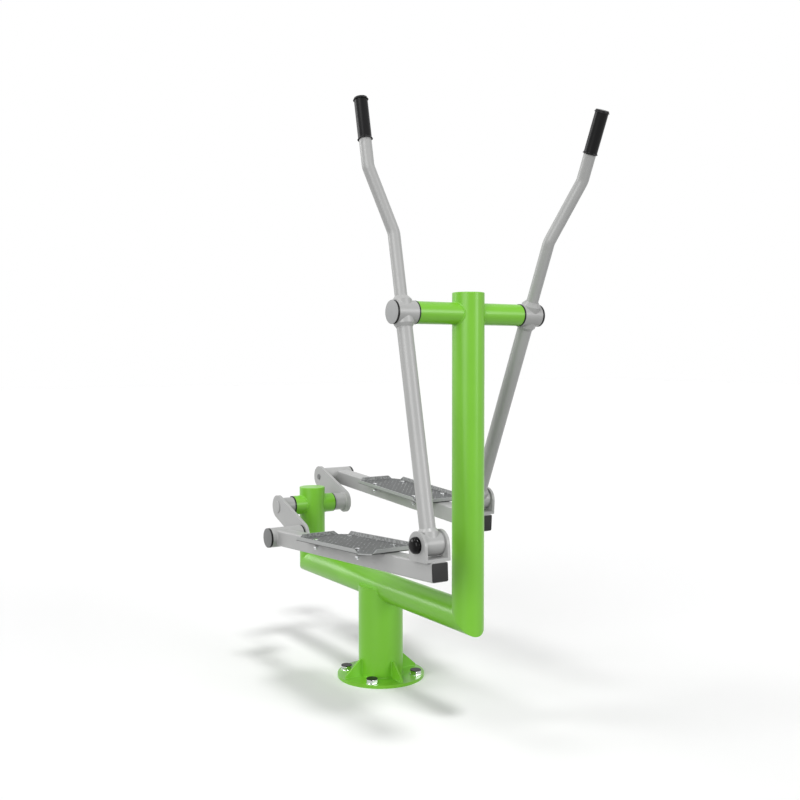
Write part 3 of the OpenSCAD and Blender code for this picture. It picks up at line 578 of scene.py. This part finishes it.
def threadedTail(b, x, y):
    # A rod whose radius steps in and out once a pitch below the nut, ending in a chamfer
    foot = b["under"] - b["nut"]
    step = np.arange(2 * int((b["tail"] - b["tip"]) / b["pitch"]) + 1)
    shank = [[0, b["under"]], [b["radius"], b["under"]]]
    thread = np.stack([b["radius"] - b["thread"] * (step % 2), foot - step * b["pitch"] / 2], axis=1)
    tip = [[b["radius"] - b["tip"], foot - b["tail"]], [0, foot - b["tail"]]]
    return revolve(np.concatenate([shank, thread, tip]), (x, y, 0), axis="z", facets=b["facets"])


def boltShells(b):
    # Head, nut and threaded tail of the four bolts through a footplate, at (x, y) on the bar
    head = hexRings(b["flats"], b["seat"], b["seat"] + b["head"])
    nut = hexRings(b["flats"], b["under"] - b["nut"], b["under"], bothEnds=True)
    shells = []
    for x in b["along"]:
        for y in (machine["leverY"] - b["across"], machine["leverY"] + b["across"]):
            shells += [gridShell(rings + [x, y, 0], caps=True) for rings in (head, nut)]
            shells.append(threadedTail(b, x, y))
    return shells


for sideName in sides:
    makeSidePiece(sideName, "hex_bolts", boltShells(boltSettings), brightZinc,
                  "pedal", "zinc_plate", 30, "footplate_bolts")
print("fasteners made")


# Tread of each footplate: a gritty skin with raised tears, and the same coat up the inside of the lips

# Cuts are each corner's length and width; scatter turns a tear's row and column into a chance from 0 to 1
treadSettings = dict(
    start=271.0, length=431.0, width=178.0, sheet=3.0, floor=28.0, lip=14.0, flare=4.4, frontCut=(37.0, 22.0),
    rearCut=(26.0, 21.0), skin=0.4, margin=0.35, step=1.25, edgeClear=0.99, boltClear=9.5,
    tearPitch=(21.0, 16.0), tearLength=4.6, tearWidth=2.6, tearHeight=1.0, tearRound=0.7, least=0.2,
    # The lips' inner faces get one even share of the pale colour
    scatter=(12.9898, 78.233, 43758.5453), lipPaleness=0.42, lipShort=1.5, lipBelow=0.4,
)


def treadHeight(x, y, t):
    # Lens-shaped tears at +45 and -45 degrees by turns, each worn its own way, none under the bolt heads:
    # height = h (1 - (u/a)^2 - (v/b)^2)^round (least + (1 - least) chance)
    px, py = t["tearPitch"]
    height = np.zeros_like(x)
    for shift, lean in ((0.0, 1), (0.5, -1)):
        column, row = x / px + shift, y / py + shift
        u, v = (column % 1 - 0.5) * px, (row % 1 - 0.5) * py
        along, over = (u + lean * v) / np.sqrt(2), (v - lean * u) / np.sqrt(2)
        lens = 1 - (along / t["tearLength"]) ** 2 - (over / t["tearWidth"]) ** 2
        lens = np.clip(lens, 0, 1) ** t["tearRound"]
        cell = np.floor(column) * t["scatter"][0] + np.floor(row) * t["scatter"][1] + lean
        chance = np.modf(np.abs(np.sin(cell)) * t["scatter"][2])[0]
        height = np.maximum(height, t["tearHeight"] * lens * (t["least"] + (1 - t["least"]) * chance))
    for boltX in boltSettings["along"]:
        for boltY in (-boltSettings["across"], boltSettings["across"]):
            height = np.where(np.hypot(x + t["start"] - boltX, y - boltY) < t["boltClear"], 0, height)
    return height


def treadSkin(t):
    # Cross sections along x: z = floor + skin + tears, and y runs over the half width less the corners' cuts
    inset = t["sheet"] + t["margin"]
    x = np.linspace(inset, t["length"] - inset, int((t["length"] - 2 * inset) / t["step"]))
    rearX, rearY = t["rearCut"]
    frontX, frontY = t["frontCut"]
    cut = np.maximum.reduce([rearY * (1 - x / rearX), frontY * (1 - (t["length"] - x) / frontX), 0 * x])
    across = np.linspace(-1, 1, int(t["width"] / t["step"]))
    y = (t["width"] / 2 - inset - cut)[:, None] * across
    x = x[:, None] + 0 * y
    raised = treadHeight(x, y, t) * (np.abs(across) < t["edgeClear"])
    top = np.stack([x + t["start"], y + machine["leverY"], t["floor"] + t["skin"] + raised], axis=-1)
    edge = top[:, [-1, 0]].copy()
    edge[..., 2] = t["floor"]
    return gridShell(np.concatenate([top, edge], axis=1), caps=True)


def slab(corners, thickness):
    # A flat outline carried along a vector
    return gridShell(np.stack([corners, corners + thickness]), caps=True)


def lipSkins(t):
    # The inner faces of the four lips, each a thin trapezium with 45 degree ends that leans outwards:
    # lean at height z = flare (z - the sheet's underside) / lip
    low, high = t["floor"], t["floor"] - t["sheet"] + t["lip"] - t["lipBelow"]
    lowLean, highLean = (t["flare"] * (z - t["floor"] + t["sheet"]) / t["lip"] for z in (low, high))
    short, slant = t["lipShort"], t["lip"]
    rear, front = t["rearCut"][0], t["length"] - t["frontCut"][0]
    skins = []
    wall = t["width"] / 2 - t["sheet"]
    for s in (-1, 1):
        lowY, highY = (machine["leverY"] + s * (wall + lean) for lean in (lowLean, highLean))
        corners = np.array([[rear + short, lowY, low], [front - short, lowY, low],
                            [front - slant, highY, high], [rear + slant, highY, high]])
        skins.append(slab(corners + [t["start"], 0, 0], np.array([0, -s * t["skin"], 0])))
    for x, cut, s in ((t["sheet"], t["rearCut"], 1), (t["length"] - t["sheet"], t["frontCut"], -1)):
        half, lowX, highX = t["width"] / 2 - cut[1], x - s * lowLean, x - s * highLean
        corners = np.array([[lowX, -half + short, low], [lowX, half - short, low],
                            [highX, half - slant, high], [highX, -half + slant, high]])
        skins.append(slab(corners + [t["start"], machine["leverY"], 0], np.array([s * t["skin"], 0, 0])))
    return skins


def markTears(tread, place, lipPoints, t):
    # The attribute that the coat wears by: the height above the skin; on the lips' points, which come last,
    # one even value that makes the lips' inner faces paler
    count = len(tread.data.vertices)
    spots = np.empty(count * 3)
    tread.data.vertices.foreach_get("co", spots)
    above = ((spots.reshape(-1, 3) - place[:, 3]) @ place[:, 2]) / mm - t["floor"] - t["skin"]
    onLips = np.arange(count) >= count - lipPoints
    height = tread.data.attributes.new("tearHeight", "FLOAT", "POINT")
    height.data.foreach_set("value", np.where(onLips, t["lipPaleness"], np.clip(above, 0, None)))


for sideName in sides:
    skins = lipSkins(treadSettings)
    tread = makeSidePiece(sideName, "tread", [treadSkin(treadSettings)] + skins, treadCoat,
                          "pedal", "footplate_grey", 50)
    markTears(tread, barPlace(sideName), sum(len(s[0]) for s in skins), treadSettings)
print("treads made")


# Weld beads, small and painted over

beadSettings = dict(radius=2.6, ripple=0.12, pitch=5.0, step=1.4, taper=5.0, facets=10)

# Where the beads run: arch and saddle on the column, gussets, crank hubs, bar end, clevis and lugs
seamSettings = dict(
    archShort=0.2, archSteps=90, saddleHalf=53.0, saddleZ=289.0,
    gussets=4, gussetHalf=3.0, gussetStart=70.0, gussetEnd=126.0, gussetFoot=69.8, gussetRise=50.0,
    hubY=124.8, hubRadius=29.3, housingRadius=31.75, barHalf=25.0, barCorner=5.0, cornerSteps=12, sideSteps=8,
    nearest=0.3, clevisAlong=38.0, clevisAcross=19.0, lugHalf=17.0, lugZ=14.0,
)


def beadRadius(path, closed):
    # radius = r (1 + ripple sin(2 pi s / pitch)), where s is the length along the bead; open ends taper off
    b = beadSettings
    gap = np.linalg.norm(np.diff(path, axis=0), axis=1)
    s = np.concatenate([[0], np.cumsum(gap)])
    total = s[-1] + (np.linalg.norm(path[0] - path[-1]) if closed else 0)
    pitch = total / max(1, round(total / b["pitch"]))
    radius = b["radius"] * (1 + b["ripple"] * np.sin(2 * np.pi * s / pitch))
    if not closed:
        ends = np.clip(np.minimum(s, total - s) / b["taper"], 0, 1)
        radius = radius * np.sqrt(1 - (1 - ends) ** 2)
    return radius


def bead(path, reference, closed=False):
    # A round section of the bead's own radius, carried along the path
    return sweep(path, beadRadius(path, closed), reference, beadSettings["facets"], closed)


def lineBead(start, end, reference):
    # A straight bead: point = start + (end - start) t
    start, end = np.asarray(start, float), np.asarray(end, float)
    t = np.linspace(0, 1, max(4, int(np.linalg.norm(end - start) / beadSettings["step"])))[:, None]
    return bead(start + (end - start) * t, reference)


def ringBead(centre, radius, axis):
    # A circle round y or z: point = centre + radius (cos a, sin a)
    turn = fullTurn(int(2 * np.pi * radius / beadSettings["step"]))
    x, y, flat = radius * np.cos(turn), radius * np.sin(turn), 0 * turn
    path = np.stack([x, y, flat] if axis == "z" else [x, flat, y], axis=1) + centre
    return bead(path, [0, 0, 1] if axis == "z" else [0, 1, 0], closed=True)


def saddleBead(centre, mainRadius, branchRadius, side):
    # A tube along y meeting a post along z: y = sqrt(R^2 - (r cos a)^2)
    turn = fullTurn(int(2 * np.pi * branchRadius / beadSettings["step"]))
    x, z = branchRadius * np.cos(turn), branchRadius * np.sin(turn)
    path = np.stack([x, side * np.sqrt(mainRadius ** 2 - x ** 2), z], axis=1) + centre
    return bead(path, [0, 1, 0], closed=True)


def frameBeads(m, w):
    # Round the column's foot and the cross tubes, under and along the beam on the column,
    # x = sqrt(column^2 - y^2), z = beam - sqrt(post^2 - y^2), and along both faces of the gussets
    shells = [ringBead([0, 0, m["flangeTop"]], m["columnRadius"], "z")]
    for s in (-1, 1):
        shells.append(saddleBead([m["postX"], 0, m["crossbarZ"]], m["postRadius"], m["crossbarRadius"], s))
        shells.append(saddleBead([m["rearX"], 0, m["axleZ"]], m["postRadius"], m["housingRadius"], s))
        y = np.linspace(-m["postRadius"] + w["archShort"], m["postRadius"] - w["archShort"], w["archSteps"])
        arch = np.stack([s * np.sqrt(m["columnRadius"] ** 2 - y ** 2), y,
                         m["beamZ"] - np.sqrt(m["postRadius"] ** 2 - y ** 2)], axis=1)
        shells.append(bead(arch, [1, 0, 0]))
        edge = np.array([0, s * m["postRadius"], w["saddleZ"]])
        shells.append(lineBead(edge - [w["saddleHalf"], 0, 0], edge + [w["saddleHalf"], 0, 0], [0, 0, 1]))
    for a in fullTurn(w["gussets"]):
        out, across = np.array([np.cos(a), np.sin(a), 0]), np.array([-np.sin(a), np.cos(a), 0])
        for s in (-1, 1):
            face = s * w["gussetHalf"] * across + [0, 0, m["flangeTop"]]
            shells.append(lineBead(out * w["gussetStart"] + face, out * w["gussetEnd"] + face, [0, 0, 1]))
            foot = out * w["gussetFoot"] + face
            shells.append(lineBead(foot, foot + [0, 0, w["gussetRise"]], out))
    return shells


def barBeads(m, w):
    # The bar's end on the housing, x = sqrt(R^2 - z^2), the clevis on the bar and the lugs on its sides
    outline = roundedSquare(w["barHalf"], w["barCorner"], w["cornerSteps"])
    t = np.linspace(0, 1, w["sideSteps"], endpoint=False)[:, None]
    y, z = np.concatenate([p + (q - p) * t for p, q in zip(outline, np.roll(outline, -1, axis=0))]).T
    seam = np.stack([np.sqrt(w["housingRadius"] ** 2 - z ** 2), y + m["leverY"], z], axis=1)
    keep = np.concatenate([[True], np.linalg.norm(np.diff(seam, axis=0), axis=1) > w["nearest"]])
    shells = [bead(seam[keep], [1, 0, 0], closed=True)]
    for x in (m["pivotAlong"] - w["clevisAlong"], m["pivotAlong"] + w["clevisAlong"]):
        foot = np.array([x, m["leverY"], w["barHalf"]])
        shells.append(lineBead(foot - [0, w["clevisAcross"], 0], foot + [0, w["clevisAcross"], 0], [1, 0, 0]))
    for x in boltSettings["along"]:
        for s in (-1, 1):
            foot = np.array([x, m["leverY"] + s * w["barHalf"], w["lugZ"]])
            shells.append(lineBead(foot - [w["lugHalf"], 0, 0], foot + [w["lugHalf"], 0, 0], [0, 0, 1]))
    return shells


makePiece("frame_welds", frameBeads(machine, seamSettings), limeGreenPowderCoat,
          "frame", 60)
crankBead = ringBead([0, seamSettings["hubY"], 0], seamSettings["hubRadius"], "y")
makePiece("crank_welds", bothCranks(crankBead), greyPowderCoat, "crank", 60)
for sideName in sides:
    makeSidePiece(sideName, "pedal_welds", barBeads(machine, seamSettings), greyPowderCoat,
                  "pedal", "grey_powder_coat", 60)
print("welds made")


# Studio: a pale floor, a dim surround that the eye sees as white, and five soft suns

studio = dict(surround=0.23, surroundSeen=1.0, floorColour=0.4, floorSeen=0.96, floorSize=60.0)
lamps = [
    dict(name="overhead", strength=1.3, spread=13, aim=(-0.37, -0.05, -1.0)),
    dict(name="slanting", strength=0.5, spread=16, aim=(0.3, 0.6, -1.0)),
    dict(name="key", strength=1.65, spread=40, aim=(-0.5, 0.85, -0.32)),
    dict(name="side", strength=1.05, spread=26, aim=(-0.88, -0.47, -0.22)),
    dict(name="rim", strength=0.85, spread=26, aim=(0.75, 0.6, -0.3)),
]
view = dict(place=(2.66103, -1.60633, 1.00730), yaw=147.74, pitch=-2.49, roll=-0.08,
            lens=44.65, sensor=36, reach=200)


def seenColour(tree, lighting, seen):
    # A grey that lights the object, and another for camera, glossy and transmission rays, which see it directly
    path = addNode(tree, "ShaderNodeLightPath").outputs
    first = addNode(tree, "ShaderNodeMath", {0: path["Is Camera Ray"], 1: path["Is Glossy Ray"]},
                    operation="MAXIMUM")
    eye = addNode(tree, "ShaderNodeMath", {0: first.outputs[0], 1: path["Is Transmission Ray"]},
                  operation="MAXIMUM")
    mixed = addNode(tree, "ShaderNodeMix",
                    {"Factor": eye.outputs[0], "A": (*[lighting] * 3, 1), "B": (*[seen] * 3, 1)},
                    data_type="RGBA")
    return mixed.outputs["Result"]


def buildSurround():
    # An even grey all round
    world = bpy.data.worlds.new("studio")
    bpy.context.scene.world = world
    world.use_nodes = True
    colour = seenColour(world.node_tree, studio["surround"], studio["surroundSeen"])
    world.node_tree.links.new(colour, world.node_tree.nodes["Background"].inputs["Color"])


def buildFloor():
    # One matt square under the object
    material = bpy.data.materials.new("pale studio floor")
    material.use_nodes = True
    tree = material.node_tree
    tree.nodes.remove(tree.nodes["Principled BSDF"])
    colour = seenColour(tree, studio["floorColour"], studio["floorSeen"])
    matt = addNode(tree, "ShaderNodeBsdfDiffuse", {"Color": colour})
    tree.links.new(matt.outputs[0], tree.nodes["Material Output"].inputs["Surface"])
    half = studio["floorSize"] / 2
    mesh = bpy.data.meshes.new("floor")
    corners = [(-half, -half, 0), (half, -half, 0), (half, half, 0), (-half, half, 0)]
    mesh.from_pydata(corners, [], [(0, 1, 2, 3)])
    mesh.materials.append(material)
    floor = bpy.data.objects.new("floor", mesh)
    bpy.context.scene.collection.objects.link(floor)


def pointAhead(name, data, right, up, ahead, place=(0, 0, 0)):
    # A lamp or a camera looks along its own -z
    columns = np.eye(4)
    columns[:3] = np.stack([right, up, -ahead, place], axis=1)
    holder = bpy.data.objects.new(name, data)
    holder.matrix_world = Matrix(columns.tolist())
    bpy.context.scene.collection.objects.link(holder)
    return holder


def hangLamps():
    # Suns need only a direction
    for lamp in lamps:
        light = bpy.data.lights.new(lamp["name"], "SUN")
        light.energy = lamp["strength"]
        light.angle = np.radians(lamp["spread"])
        aim = np.array(lamp["aim"]) / np.linalg.norm(lamp["aim"])
        right = np.cross(aim, [0, 0, 1])
        right /= np.linalg.norm(right)
        pointAhead(lamp["name"], light, right, np.cross(right, aim), aim)


def placeCamera():
    # The photograph's viewpoint: yaw round z from x, pitch above the level, roll round the line of sight
    yaw, pitch, roll = np.radians([view["yaw"], view["pitch"], view["roll"]])
    ahead = np.array([np.cos(yaw) * np.cos(pitch), np.sin(yaw) * np.cos(pitch), np.sin(pitch)])
    level = np.array([np.sin(yaw), -np.cos(yaw), 0])
    upright = np.cross(level, ahead)
    right = level * np.cos(roll) + upright * np.sin(roll)
    up = upright * np.cos(roll) - level * np.sin(roll)
    camera = bpy.data.cameras.new("camera")
    camera.lens = view["lens"]
    camera.sensor_width = view["sensor"]
    camera.clip_end = view["reach"]
    bpy.context.scene.camera = pointAhead("camera", camera, right, up, ahead, view["place"])


buildSurround()
buildFloor()
hangLamps()
placeCamera()
bpy.context.scene.view_settings.view_transform = "Standard"
print("studio and camera ready")
